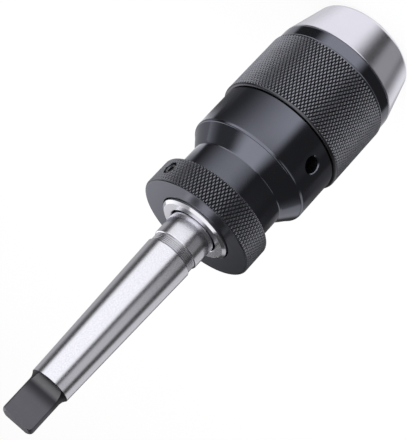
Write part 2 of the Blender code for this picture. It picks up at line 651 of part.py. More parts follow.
def build():
    """Clear the scene and make every piece."""
    for item in list(bpy.data.objects):
        bpy.data.objects.remove(item, do_unlink=True)
    make_nose()
    make_sleeve()
    make_jaw_guide()
    make_jaws()
    make_drive_screw()
    make_hub()
    make_bearing()
    make_rear_body()
    make_collar()
    make_shank()


build()
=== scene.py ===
# Keyless drill chuck on a Morse taper shank, dressed for the studio.
# The construction is loaded as a fixed frame. Every visible piece is then turned, knurled or cut again
# at a fine scale over its own solid, and gets a finish made of shader nodes.

from math import acos, atan2, cos, degrees, pi, radians, sin, sqrt, tan

import bmesh
import bpy
from bpy.props import FloatProperty, FloatVectorProperty, IntProperty, PointerProperty
from mathutils import Matrix, Vector


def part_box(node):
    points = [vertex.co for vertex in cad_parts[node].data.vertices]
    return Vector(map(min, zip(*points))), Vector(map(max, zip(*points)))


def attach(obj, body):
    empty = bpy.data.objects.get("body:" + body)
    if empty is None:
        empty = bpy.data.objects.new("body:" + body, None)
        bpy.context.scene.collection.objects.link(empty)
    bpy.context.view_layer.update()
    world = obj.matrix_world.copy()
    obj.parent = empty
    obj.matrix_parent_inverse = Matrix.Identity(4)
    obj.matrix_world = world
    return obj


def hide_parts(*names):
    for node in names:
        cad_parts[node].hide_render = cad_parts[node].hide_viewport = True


bl_info = {
    "name": "Keyless Drill Chuck",
    "version": (1, 0, 0),
    "blender": (4, 5, 0),
    "location": "View3D > Sidebar > Chuck",
    "description": "Dresses a keyless drill chuck with turned, knurled and ground surfaces",
    "category": "Object",
}

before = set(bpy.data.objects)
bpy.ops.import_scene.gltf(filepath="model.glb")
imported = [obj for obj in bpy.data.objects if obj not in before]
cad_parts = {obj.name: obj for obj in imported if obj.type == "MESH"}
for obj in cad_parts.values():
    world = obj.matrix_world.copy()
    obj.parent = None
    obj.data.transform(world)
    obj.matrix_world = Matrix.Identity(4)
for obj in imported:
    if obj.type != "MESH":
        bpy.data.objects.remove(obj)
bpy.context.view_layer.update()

MM = 0.001

# Sizes that two or more pieces share, as the construction has them.
HUB_RADIUS = 18.99 * MM
NECK_INSET = 3.75 * MM
RUNNING_GAP = 0.3 * MM
JAW_LEAN = 17.0
MORSE_RUN = 40.04
TANG_LENGTH = 16.0 * MM
TANG_TURN = 7.0
SCREW_RADIUS = 2.3 * MM
SCREW_HOLE = 2.6 * MM
SPANNER_HOLE = 3.0 * MM
SPANNER_TURN = -128.0


def top_of(name):
    """Height of a solid's upper end."""
    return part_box(name)[1].z


def foot_of(name):
    """Height of a solid's lower end."""
    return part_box(name)[0].z


def radius_of(name):
    """Outer radius of a turned solid."""
    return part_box(name)[1].x


class ChuckSizes(bpy.types.PropertyGroup):
    """Sizes of the fine surface, which the construction leaves plain."""

    knurl_count: IntProperty(
        name="Sleeve knurl count", description="Diamonds round the sleeve", default=112,
    )
    collar_knurl_count: IntProperty(
        name="Collar knurl count", description="Diamonds round the rear collar", default=102,
    )
    knurl_pitch: FloatProperty(
        name="Knurl pitch", description="Length of one diamond along the axis",
        default=2.4 * MM, unit="LENGTH",
    )
    knurl_depth: FloatProperty(
        name="Knurl depth", description="Depth of the grooves between the diamonds",
        default=0.42 * MM, unit="LENGTH",
    )
    thread_pitch: FloatProperty(
        name="Feed thread pitch", description="Distance between neighbouring ridges of the two-start thread",
        default=3.0 * MM, unit="LENGTH",
    )
    groove_rings: IntProperty(
        name="Groove rings", description="Fine turned rings in the groove below the Morse taper",
        default=5,
    )


class ChuckColours(bpy.types.PropertyGroup):
    """Colours of the chuck's finishes."""

    nose: FloatVectorProperty(
        name="Nose", description="Satin steel of the nose cone", subtype="COLOR", size=3,
        default=(0.76, 0.75, 0.81),
    )
    ground: FloatVectorProperty(
        name="Ground steel", description="Polished shank and hub ring", subtype="COLOR", size=3,
        default=(0.88, 0.875, 0.92),
    )
    black: FloatVectorProperty(
        name="Blackened steel", description="Polished black body", subtype="COLOR", size=3,
        default=(0.177, 0.183, 0.216),
    )
    knurl: FloatVectorProperty(
        name="Knurled steel", description="Blackened knurl of sleeve and collar", subtype="COLOR", size=3,
        default=(0.165, 0.167, 0.182),
    )
    hardened: FloatVectorProperty(
        name="Hardened steel", description="Jaws, guide and drive screw", subtype="COLOR", size=3,
        default=(0.42, 0.41, 0.42),
    )


class StudioSizes(bpy.types.PropertyGroup):
    """Camera and stage, measured from the photograph."""

    camera_distance: FloatProperty(
        name="Camera distance", description="Distance from the chuck's axis to the camera",
        default=453.42 * MM, unit="LENGTH",
    )
    camera_height: FloatProperty(
        name="Camera height", description="Height of the camera above the nose's face",
        default=273.19 * MM, unit="LENGTH",
    )
    target_height: FloatProperty(
        name="Target height", description="Height on the axis that the camera looks at",
        default=92.87 * MM, unit="LENGTH",
    )
    target_side: FloatProperty(
        name="Target offset", description="Sideways offset of the point the camera looks at",
        default=-0.17 * MM, unit="LENGTH",
    )
    camera_roll: FloatProperty(
        name="Camera roll", description="Turn of the camera about its own view",
        default=radians(-137.293), subtype="ANGLE",
    )
    focal_px: FloatProperty(
        name="Focal length in pixels", description="Focal length in pixels of the 407 by 440 photograph",
        default=1424.9,
    )


def sizes():
    """The scene's size properties."""
    return bpy.context.scene.chuck_sizes


def colours():
    """The scene's colour properties."""
    return bpy.context.scene.chuck_colours


# Shader maths


class Wire:
    """A socket's output, with the operators that shader maths needs."""

    def __init__(self, finish, socket):
        self.finish = finish
        self.socket = socket

    def math(self, operation, *others):
        """One Math node on this value and the others."""
        return self.finish.node("ShaderNodeMath", {"operation": operation}, dict(enumerate((self, *others))))

    def __add__(self, other):
        return self.math("ADD", other)

    __radd__ = __add__

    def __sub__(self, other):
        return self.math("SUBTRACT", other)

    def __rsub__(self, other):
        return self.finish.node("ShaderNodeMath", {"operation": "SUBTRACT"}, {0: other, 1: self})

    def __mul__(self, other):
        return self.math("MULTIPLY", other)


class Finish:
    """One procedural material under construction."""

    def __init__(self, name):
        self.material = bpy.data.materials.new(name)
        self.material.use_nodes = True
        self.tree = self.material.node_tree
        self.shader = self.tree.nodes["Principled BSDF"]
        self.shader.inputs["Metallic"].default_value = 1.0

    def node(self, kind, settings=None, inputs=None, output=0):
        """Add a node: its settings first, then the values or links of its sockets."""
        made = self.tree.nodes.new(kind)
        for key, value in (settings or {}).items():
            setattr(made, key, value)
        for key, value in (inputs or {}).items():
            self.feed(made.inputs[key], value)
        return Wire(self, made.outputs[output])

    def feed(self, socket, value):
        """Link a wire to a socket, or set the socket's own value."""
        if isinstance(value, Wire):
            self.tree.links.new(value.socket, socket)
        else:
            socket.default_value = value

    def place(self):
        """Object coordinates, in metres."""
        return self.node("ShaderNodeTexCoord", output="Object")

    def axes(self):
        """The X, Y and Z of the object coordinates as three wires."""
        split = self.tree.nodes.new("ShaderNodeSeparateXYZ")
        self.feed(split.inputs[0], self.place())
        return [Wire(self, split.outputs[index]) for index in range(3)]

    def noise(self, scale, detail=3.0, stretch=None, where=None):
        """Noise from 0 to 1; stretch squeezes it along an axis."""
        where = where or self.place()
        if stretch:
            where = self.node("ShaderNodeMapping", inputs={"Vector": where, "Scale": stretch})
        return self.node("ShaderNodeTexNoise", inputs={"Vector": where, "Scale": scale, "Detail": detail})

    def turning(self, per_metre):
        """Noise that only changes along the axis, as a tool leaves on turned metal."""
        height = self.axes()[2]
        return self.noise(per_metre, 2.0, where=self.node("ShaderNodeCombineXYZ", inputs={"Z": height}))

    def blend(self, mask, first, second):
        """A colour that runs from the first to the second as the mask goes from 0 to 1."""
        made = self.tree.nodes.new("ShaderNodeMix")
        made.data_type = "RGBA"
        sockets = {item.name: item for item in made.inputs if item.enabled}
        for name, value in (("Factor", mask), ("A", first), ("B", second)):
            self.feed(sockets[name], value)
        return Wire(self, next(item for item in made.outputs if item.enabled))

    def fade(self, value, low, high):
        """A smooth step from 0 at the low value to 1 at the high one."""
        settings = {"interpolation_type": "SMOOTHSTEP"}
        return self.node("ShaderNodeMapRange", settings, {"Value": value, "From Min": low, "From Max": high})

    def output(self, shader):
        """Use a shader as the material's surface."""
        self.tree.links.new(shader.socket, self.tree.nodes["Material Output"].inputs["Surface"])

    def bump(self, height, strength, distance):
        """Feed the normal from a height."""
        inputs = {"Height": height, "Strength": strength, "Distance": distance}
        self.feed(self.shader.inputs["Normal"], self.node("ShaderNodeBump", inputs=inputs))

    def colour(self, value):
        """Feed the base colour."""
        self.feed(self.shader.inputs["Base Color"], value)

    def roughness(self, value):
        """Feed the roughness."""
        self.feed(self.shader.inputs["Roughness"], value)


def solid(colour, factor=1.0):
    """A colour with alpha 1, brighter or darker by a factor."""
    return (*(min(channel * factor, 1.0) for channel in colour), 1.0)


def shared(paint):
    """Make a metal once, with the function that paints it, and hand the same one out after that."""
    made = []

    def material():
        if not made:
            made.append(Finish(paint.__name__))
            paint(made[0])
        return made[0].material

    return material


def grained(finish, noise, tones, smooth, spread, bump=None):
    """Let the colour, the roughness and, if asked, the height follow one noise.

    The noise is a cloudy one's scale and detail, or one number, the scale of turning lines.
    """
    grain = finish.noise(*noise) if isinstance(noise, tuple) else finish.turning(noise)
    finish.colour(finish.blend(grain, *tones))
    finish.roughness(smooth + grain * spread)
    if bump:
        finish.bump(grain, *bump)


def shades(colour, darker, lighter):
    """Two tones of a colour."""
    return solid(colour, darker), solid(colour, lighter)


@shared
def satin_nose(finish):
    """Fine-turned bright steel: rings along the axis and soft handling marks."""
    base = colours().nose
    rings = finish.turning(2600.0)
    cloud = finish.noise(90.0, 4.0)
    finish.colour(finish.blend(cloud, *shades(base, 0.96, 1.04)))
    finish.roughness(0.13 + rings * 0.11 + cloud * 0.04)
    finish.bump(rings, 0.08, 0.00003)


@shared
def ground_shank(finish):
    """Ground and polished shank: hair-fine grinding lines round the taper."""
    base = colours().ground
    lines = finish.turning(7000.0)
    smear = finish.noise(60.0, 3.0, (1.0, 1.0, 0.25))
    speckle = finish.fade(finish.noise(2200.0, 2.0), 0.35, 0.65)
    finish.colour(finish.blend(speckle, *shades(base, 0.93, 1.03)))
    finish.roughness(0.1 + lines * 0.12 + smear * 0.05 + speckle * 0.05)
    finish.bump(lines, 0.1, 0.00003)


@shared
def tang_scale_and_crease_shade(finish):
    """Hardened tang left dark from heat, with a matte mottled skin, and painted shade that darkens its flats
    towards their foot, in the crease.
    """
    start = top_of("shank_arbor") - TANG_LENGTH
    height = finish.axes()[2]
    mottle = finish.noise(260.0, 3.0)
    skin = finish.blend(mottle, solid((0.132, 0.129, 0.143)), solid((0.178, 0.174, 0.192)))
    # Painted shade in the crease: the flats turn near black towards their foot, where they meet the scoop.
    crease_shade_mask = finish.fade(height, start + 8.0 * MM, start + 4.0 * MM)
    finish.colour(finish.blend(crease_shade_mask, skin, solid((0.055, 0.054, 0.06))))
    finish.roughness(0.44 + mottle * 0.1)
    finish.bump(mottle, 0.06, 0.00005)


@shared
def hub_steel(finish):
    """Turned rear face of the hub's ring."""
    grained(finish, (70.0, 3.0), shades(colours().ground, 0.8, 0.9), 0.24, 0.08)


@shared
def polished_rim(finish):
    """Bright chamfer round the hub's ring, polished by handling."""
    grained(finish, (90.0, 3.0), shades(colours().ground, 0.96, 1.05), 0.1, 0.08)


@shared
def gloss_black(finish):
    """Polished blue-black body, almost free of marks."""
    base = colours().black
    smear = finish.noise(45.0, 4.0)
    lines = finish.turning(3500.0)
    finish.colour(finish.blend(smear, *shades(base, 0.9, 1.08)))
    finish.roughness(0.07 + smear * 0.05 + lines * 0.03)
    finish.bump(lines, 0.03, 0.00002)


@shared
def plain_black(finish):
    """Blackened steel of the sleeve's rear edge and the hub's bores."""
    tones = shades(colours().knurl, 0.6, 0.9)
    grained(finish, (700.0, 3.0), tones, 0.26, 0.12, (0.06, 0.00003))


@shared
def bore_wall_shade(finish):
    """Dull wall of a drilled hole, near black: painted shade inside the hole."""
    # Painted shade: the hole's wall is far darker than the body's black, as shade inside the hole.
    tones = solid((0.03, 0.031, 0.035)), solid((0.055, 0.056, 0.06))
    grained(finish, (600.0, 3.0), tones, 0.5, 0.2)


@shared
def turned_black(finish):
    """Fine-turned black face of the collar, shaded in rings round the axis."""
    base = colours().black
    across, towards, height = finish.axes()
    reach = (across * across + towards * towards).math("SQRT")
    where = finish.node("ShaderNodeCombineXYZ", inputs={"X": reach, "Z": height})
    rings = finish.noise(2200.0, 2.0, where=where)
    finish.colour(finish.blend(rings, *shades(base, 0.66, 0.8)))
    finish.roughness(0.25 + rings * 0.08)


def knurl_finish(finish, groove, crown):
    """Knurl: grooves darkened by painted shade, crests lighter, partly rubbed and partly a painted
    highlight, read from the crest attribute.
    """
    base = colours().knurl
    crest = finish.node("ShaderNodeAttribute", {"attribute_name": "crest"}, output="Fac")
    wear = finish.noise(260.0, 3.0)
    # Wear and painted highlight lighten the crests; painted shade keeps the grooves at the darker tone.
    rubbed_and_highlight = (crest * (0.75 + wear * 0.5)).math("MINIMUM", 1.0)
    finish.colour(finish.blend(rubbed_and_highlight, *shades(base, groove, crown)))
    finish.roughness(0.46 - rubbed_and_highlight * 0.14)


@shared
def knurled_black(finish):
    """The sleeve's knurl, with crests rubbed bright by the hand and a painted highlight on them, and painted
    shade in the grooves.
    """
    knurl_finish(finish, 0.32, 2.1)


@shared
def knurled_collar(finish):
    """The collar's knurl, less worn, with a weaker painted highlight on the crests and weaker painted shade
    in the grooves.
    """
    knurl_finish(finish, 0.62, 1.45)


@shared
def turned_groove(finish):
    """Groove below the taper: darker steel with coarse turning lines."""
    tones = shades(colours().ground, 0.5, 0.88)
    grained(finish, 3600.0, tones, 0.2, 0.12, (0.25, 0.00005))


@shared
def scoop_with_crease_shade(finish):
    """Scoop between taper and tang: a lighter mottled tone low down, and painted shade that darkens it where
    it meets the flat.
    """
    height = finish.axes()[2]
    start = top_of("shank_arbor") - TANG_LENGTH
    # Painted shade in the crease: the scoop turns near black towards the foot of the flat.
    crease_shade_mask = finish.fade(height, start + 1.8 * MM, start + 4.0 * MM)
    mottle = finish.noise(380.0, 3.0)
    light = finish.blend(mottle, solid((0.14, 0.14, 0.146)), solid((0.21, 0.209, 0.216)))
    finish.colour(finish.blend(crease_shade_mask, light, solid((0.045, 0.045, 0.05))))
    finish.roughness(0.4 + mottle * 0.1)


@shared
def hardened_steel(finish):
    """Ground, hardened steel of the guide and the drive screw."""
    tones = shades(colours().hardened, 0.75, 1.1)
    grained(finish, (520.0, 3.0), tones, 0.26, 0.16, (0.08, 0.00003))


@shared
def jaw_steel(finish):
    """Jaws: grinding lines across their length."""
    tones = shades(colours().hardened, 0.95, 1.45)
    grained(finish, 5200.0, tones, 0.18, 0.18, (0.1, 0.00003))


@shared
def screw_black(finish):
    """Blackened set screw."""
    grain = finish.noise(900.0, 3.0)
    share = (grain - 0.2).math("DIVIDE", 0.6)
    finish.colour(finish.blend(share, solid((0.09, 0.09, 0.1)), solid((0.2, 0.2, 0.215))))
    finish.roughness(0.28 + grain * 0.18)


@shared
def race_steel(finish):
    """Mirror finish of the bearing's rings and balls."""
    tones = solid((0.66, 0.67, 0.69)), solid((0.76, 0.77, 0.79))
    grained(finish, (300.0, 2.0), tones, 0.06, 0.08)


@shared
def cage_brass(finish):
    """Turned brass cage."""
    tones = solid((0.62, 0.42, 0.16)), solid((0.8, 0.58, 0.26))
    grained(finish, (350.0, 3.0), tones, 0.24, 0.14)


# Mesh making

# Distances in metres under which points count as one: of a spun outline, and of a knurl or a loaded solid.
TOUCHING = 1e-7
NEAR = 1e-6


def arc(centre, radius, start, end, count):
    """Points (r, z) along an arc, angles in degrees from the +r direction."""
    turns = [radians(start + (end - start) * step / count) for step in range(count + 1)]
    return [(centre[0] + radius * cos(angle), centre[1] + radius * sin(angle)) for angle in turns]


def split_long(profile, longest):
    """Add points along an outline's straight sides, also close to their ends so that shading stays flat."""
    long_side = 0.6 * MM
    end_strip = 0.08 * MM
    points = []
    for (radius, height), after in zip(profile, [*profile[1:], profile[0]]):
        length = sqrt((after[0] - radius) ** 2 + (after[1] - height) ** 2)
        parts = max(1, int(length / longest))
        shares = [step / parts for step in range(parts)]
        if length > long_side:
            shares += [end_strip / length, 1.0 - end_strip / length]
        for share in sorted(shares):
            points.append((radius + (after[0] - radius) * share, height + (after[1] - height) * share))
    return points


def spin_round(mesh_data, geometry, angle, steps, rise=0.0, merge=False, copy=False):
    """Spin geometry round the axis, with a rise at each step where one is given."""
    bmesh.ops.spin(
        mesh_data,
        geom=geometry,
        cent=(0.0, 0.0, 0.0),
        axis=(0.0, 0.0, 1.0),
        dvec=(0.0, 0.0, rise),
        angle=angle,
        steps=steps,
        use_merge=merge,
        use_normal_flip=False,
        use_duplicate=copy,
    )


def turn(profile, steps=192):
    """Spin a closed outline of (r, z) points round the axis; sides that lie on the axis are left out."""
    mesh_data = bmesh.new()
    verts = [mesh_data.verts.new((radius, 0.0, height)) for radius, height in profile]
    pairs = [*zip(verts, verts[1:]), (verts[-1], verts[0])]
    edges = [mesh_data.edges.new(pair) for pair in pairs if pair[0].co.x + pair[1].co.x > TOUCHING]
    spin_round(mesh_data, [*verts, *edges], 2 * pi, steps, merge=True)
    bmesh.ops.remove_doubles(mesh_data, verts=mesh_data.verts, dist=TOUCHING)
    bmesh.ops.recalc_face_normals(mesh_data, faces=mesh_data.faces)
    return mesh_data


def new_object(name, mesh_data):
    """Turn a bmesh into an object in the scene."""
    mesh = bpy.data.meshes.new(name)
    mesh_data.to_mesh(mesh)
    mesh_data.free()
    made = bpy.data.objects.new(name, mesh)
    bpy.context.scene.collection.objects.link(made)
    return made


def finish_piece(name, mesh_data, finish, body, nodes, sharp=28.0):
    """Make an object of the mesh, shade it, give it its finish or finishes and seat it on its body."""
    piece = new_object(name, mesh_data)
    piece.data.shade_smooth()
    piece.data.set_sharp_from_angle(angle=radians(sharp))
    for material in finish if isinstance(finish, list) else [finish]:
        piece.data.materials.append(material)
    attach(piece, body)
    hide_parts(*nodes)


def verts_in(geometry):
    """The vertices among the results of a bmesh operator."""
    return [item for item in geometry if isinstance(item, bmesh.types.BMVert)]


def block(outline, low, high, place):
    """A closed prism for cutting: an (x, y) outline extruded along Z and placed."""
    mesh_data = bmesh.new()
    verts = [mesh_data.verts.new((x, y, low)) for x, y in outline]
    base = mesh_data.faces.new(verts)
    moved = verts_in(bmesh.ops.extrude_face_region(mesh_data, geom=[base])["geom"])
    bmesh.ops.translate(mesh_data, vec=(0.0, 0.0, high - low), verts=moved)
    bmesh.ops.transform(mesh_data, matrix=place, verts=[*verts, *moved])
    bmesh.ops.recalc_face_normals(mesh_data, faces=mesh_data.faces)
    return mesh_data


def cone(place, height, low_radius, high_radius, depth):
    """A closed cone for cutting, with its middle at a height along the placed axis."""
    mesh_data = bmesh.new()
    bmesh.ops.create_cone(
        mesh_data,
        cap_ends=True,
        segments=48,
        radius1=low_radius,
        radius2=high_radius,
        depth=depth,
        matrix=place @ Matrix.Translation((0.0, 0.0, height)),
    )
    return mesh_data


def carve(mesh_data, cutters):
    """Cut closed bmesh solids out of a bmesh, and hand back the result."""
    stock = new_object("stock", mesh_data)
    used = [stock]
    for number, cutter in enumerate(cutters):
        used.append(new_object(f"tool_{number}", cutter))
        change = stock.modifiers.new(f"cut_{number}", "BOOLEAN")
        change.operation = "DIFFERENCE"
        change.solver = "EXACT"
        change.object = used[-1]
    bpy.context.view_layer.update()
    result = bmesh.new()
    result.from_object(stock, bpy.context.evaluated_depsgraph_get())
    meshes = [item.data for item in used]
    for item in used:
        bpy.data.objects.remove(item, do_unlink=True)
    for mesh in meshes:
        bpy.data.meshes.remove(mesh)
    bmesh.ops.remove_doubles(result, verts=result.verts, dist=TOUCHING)
    return result


def round_outline(radius, steps=48):
    """A circle as an (x, y) outline."""
    angles = [2 * pi * step / steps for step in range(steps)]
    return [(radius * cos(angle), radius * sin(angle)) for angle in angles]


def outward(azimuth, height, start=0.0):
    """Place an upright prism so that it points outwards from the axis."""
    turned = Matrix.Rotation(azimuth, 4, "Z")
    tipped = Matrix.Rotation(radians(90.0), 4, "Y")
    return Matrix.Translation((0.0, 0.0, height)) @ turned @ Matrix.Translation((start, 0.0, 0.0)) @ tipped


def move_out(vert, reach):
    """Slide a vertex straight in or out, to a distance from the axis."""
    share = reach / vert.co.xy.length
    vert.co.x *= share
    vert.co.y *= share


def knurl_band(outer, low, high, count):
    """A closed band of raised diamonds round the axis, trimmed flat at both ends."""
    radius = outer - 0.02 * MM
    pitch = sizes().knurl_pitch
    wall = 0.6 * MM
    half_turn = pi / count
    valley = radius - sizes().knurl_depth
    middle = (low + high) / 2
    rows = int((high - low) / pitch) + 3
    tooth = bmesh.new()
    layer = tooth.verts.layers.float.new("crest")
    corners = []
    for angle, height in ((-half_turn, 0.0), (0.0, -pitch / 2), (half_turn, 0.0), (0.0, pitch / 2)):
        corners.append(tooth.verts.new((valley * cos(angle), valley * sin(angle), height)))
    face = tooth.faces.new(corners)
    face.normal_update()
    flank = 0.62 * (valley * half_turn)
    bmesh.ops.inset_individual(tooth, faces=[face], thickness=flank, depth=0.0)
    for vert in face.verts:
        move_out(vert, radius)
        vert[layer] = 1.0
    source = [*tooth.verts, *tooth.edges, *tooth.faces]
    column = list(source)
    for row in range(1, 2 * rows):
        copy = bmesh.ops.duplicate(tooth, geom=source)["geom"]
        place = Matrix.Translation((0, 0, row * pitch / 2)) @ Matrix.Rotation(half_turn * (row % 2), 4, "Z")
        bmesh.ops.transform(tooth, matrix=place, verts=verts_in(copy))
        column += copy
    bmesh.ops.translate(tooth, vec=(0.0, 0.0, middle - (2 * rows - 1) * pitch / 4), verts=tooth.verts)
    spin_round(tooth, column, 2 * pi * (count - 1) / count, count - 1, copy=True)
    bmesh.ops.remove_doubles(tooth, verts=tooth.verts, dist=NEAR)
    for level, side in ((low, -1.0), (high, 1.0)):
        bmesh.ops.bisect_plane(
            tooth,
            geom=[*tooth.verts, *tooth.edges, *tooth.faces],
            dist=TOUCHING,
            plane_co=(0.0, 0.0, level),
            plane_no=(0.0, 0.0, side),
            clear_outer=True,
            clear_inner=False,
        )
    loops = []
    for level in (low, high):
        rim = [edge for edge in tooth.edges if edge.is_boundary and abs(edge.verts[0].co.z - level) < NEAR]
        grown = bmesh.ops.extrude_edge_only(tooth, edges=rim)["geom"]
        for vert in verts_in(grown):
            move_out(vert, valley - wall)
            vert[layer] = 0.0
        loops.append([item for item in grown if isinstance(item, bmesh.types.BMEdge)])
    bmesh.ops.bridge_loops(tooth, edges=[*loops[0], *loops[1]])
    bmesh.ops.recalc_face_normals(tooth, faces=tooth.faces)
    for face in tooth.faces:
        face.material_index = 1
    return tooth


def merge_into(target, source):
    """Add one bmesh to another through a throwaway mesh."""
    passing = bpy.data.meshes.new("passing")
    source.to_mesh(passing)
    source.free()
    target.from_mesh(passing)
    bpy.data.meshes.remove(passing)


# Pieces


class CHUCK_OT_nose(bpy.types.Operator):
    """Bright nose cone with its rounded lip and mouth"""

    bl_idname = "chuck.nose"
    bl_label = "Nose cone"

    def execute(self, context):
        radius = radius_of("nose")
        length = foot_of("sleeve") - 0.1 * MM
        lip = 2.5 * MM
        face = 17.95 * MM
        top = top_of("nose")
        tube = radius_of("sleeve") - 3.8 * MM
        bore = tube - 2.0 * MM
        slope = tan(radians(JAW_LEAN))
        step_z = top_of("jaw_guide") + RUNNING_GAP
        mouth = 11.7 * MM
        edge = 0.8 * MM
        soft = 0.35 * MM
        profile = [
            (mouth + edge, 0.0),
            *arc((face, lip), lip, -90.0, -14.0, 14),
            *arc((radius - soft, length - soft), soft, -14.0, 90.0, 5),
            (tube, length),
            (tube, top),
            (bore, top),
            (bore, step_z),
            (mouth + step_z * slope, step_z),
            (mouth + edge * slope, edge),
        ]
        shell = turn(split_long(profile, 2.0 * MM))
        finish_piece("nose_cone", shell, satin_nose(), "turning_sleeve", ["nose"])
        return {"FINISHED"}


class CHUCK_OT_sleeve(bpy.types.Operator):
    """Turning sleeve with its smooth band and diamond knurl"""

    bl_idname = "chuck.sleeve"
    bl_label = "Knurled sleeve"

    def execute(self, context):
        size = sizes()
        radius = radius_of("sleeve")
        low, high = foot_of("sleeve"), top_of("sleeve")
        band_end = low + 4.95 * MM
        band_front = radius - 0.65 * MM
        band_back = radius - 0.55 * MM
        valley = radius - size.knurl_depth
        rim = 0.95 * MM
        chamfer = 0.8 * MM
        soft = 0.35 * MM
        lip_bore = radius_of("screw_hub") - 0.1 * MM
        shoulder = top_of("upper_race") + RUNNING_GAP
        bearing = radius_of("upper_race") + RUNNING_GAP
        lip_foot = shoulder + 4.45 * MM
        hub = HUB_RADIUS + 0.5 * MM
        tube = radius - 3.5 * MM
        foot = foot_of("screw_hub") - 0.5 * MM
        profile = [
            (band_front - soft, low),
            *arc((band_front - soft, low + soft), soft, -90.0, -8.0, 4),
            (band_back, band_end - 0.15 * MM),
            (band_back + 0.05 * MM, band_end),
            (radius - 0.1 * MM, band_end + 0.55 * MM),
            (radius - 0.1 * MM, band_end + 0.85 * MM),
            (valley - 0.1 * MM, band_end + 1.0 * MM),
            (valley - 0.1 * MM, high - rim - 0.05 * MM),
            (radius - 0.08 * MM, high - rim + 0.06 * MM),
            *arc((radius - chamfer, high - chamfer), chamfer, 0.0, 90.0, 5),
            (lip_bore, high),
            (lip_bore, lip_foot),
            (hub, lip_foot),
            (hub, shoulder),
            (bearing, shoulder),
            (bearing, foot),
            (tube, foot),
            (tube, low),
        ]
        shell = turn(split_long(profile, 2.5 * MM), 224)
        merge_into(shell, knurl_band(radius, band_end + 0.9 * MM, high - rim, size.knurl_count))
        for face in shell.faces:
            if face.material_index == 0 and face.calc_center_median().z > high - 1.5 * MM:
                face.material_index = 2
        finishes = [gloss_black(), knurled_black(), plain_black()]
        finish_piece("sleeve_shell", shell, finishes, "turning_sleeve", ["sleeve"], sharp=22.0)
        return {"FINISHED"}


class CHUCK_OT_body(bpy.types.Operator):
    """Polished black body with shoulder, neck and spanner hole"""

    bl_idname = "chuck.body"
    bl_label = "Rear body"

    def execute(self, context):
        radius = radius_of("rear_body")
        low, high = foot_of("rear_body"), top_of("rear_body")
        seam = top_of("sleeve") + RUNNING_GAP
        line = seam + 17.6 * MM
        neck_start = line + 5.75 * MM
        neck = radius_of("grip_collar") - NECK_INSET
        neck_bore = neck - 2.9 * MM
        bore = neck + 0.4 * MM
        step_z = line - 1.6 * MM
        lip = radius - 1.86 * MM
        soft = 0.15 * MM
        root = 0.75 * MM
        rounding = 1.1 * MM
        drop = 0.35 * MM
        angles = [radians(10 * step) for step in range(9)]
        low_end = line - rounding
        shoulder = [(radius - drop * (1 - cos(angle)), low_end + rounding * sin(angle)) for angle in angles]
        profile = [
            (bore, low),
            (lip, low),
            (lip, seam),
            *arc((radius - soft, seam + soft), soft, -90.0, 0.0, 3),
            *shoulder,
            (radius - drop - 0.12 * MM, line + 0.06 * MM),
            (neck + 0.45 * MM, neck_start - 0.3 * MM),
            *arc((neck + root, neck_start + 0.6 * MM), root, 222.0, 180.0, 5),
            (neck, high),
            (neck_bore, high),
            (neck_bore, step_z),
            (bore, step_z),
        ]
        stock = turn(split_long(profile, 1.5 * MM), 256)
        hole_z = seam + 7.75 * MM
        inside = outward(radians(SPANNER_TURN), hole_z, bore - 1.0 * MM)
        hole = block(round_outline(SPANNER_HOLE), 0.0, radius - bore + 3.0 * MM, inside)
        place = outward(radians(SPANNER_TURN), hole_z)
        rim = cone(place, radius - 0.25 * MM, 2.6 * MM, 3.9 * MM, 1.3 * MM)
        screw, start = screw_place()
        seat = block(round_outline(SCREW_HOLE), start - 0.3 * MM, start + 4.0 * MM, screw)
        shell = carve(stock, [hole, rim, seat])
        back = place.inverted()
        # The spanner hole's wall takes the bore's painted shade.
        for face in shell.faces:
            local = back @ face.calc_center_median()
            drilled = local.xy.length < SPANNER_HOLE + 0.2 * MM and 0.0 < local.z < radius - 0.4 * MM
            face.material_index = 1 if drilled else 0
        finishes = [gloss_black(), bore_wall_shade()]
        finish_piece("body_shell", shell, finishes, "root", ["rear_body"], sharp=26.0)
        return {"FINISHED"}


def screw_place():
    """Where the collar's set screw points and starts, read from its solid and the collar's."""
    low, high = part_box("collar_set_screw")
    middle = (low + high) / 2
    start = radius_of("grip_collar") - NECK_INSET - 1.0 * MM
    return outward(atan2(middle.y, middle.x), middle.z), start


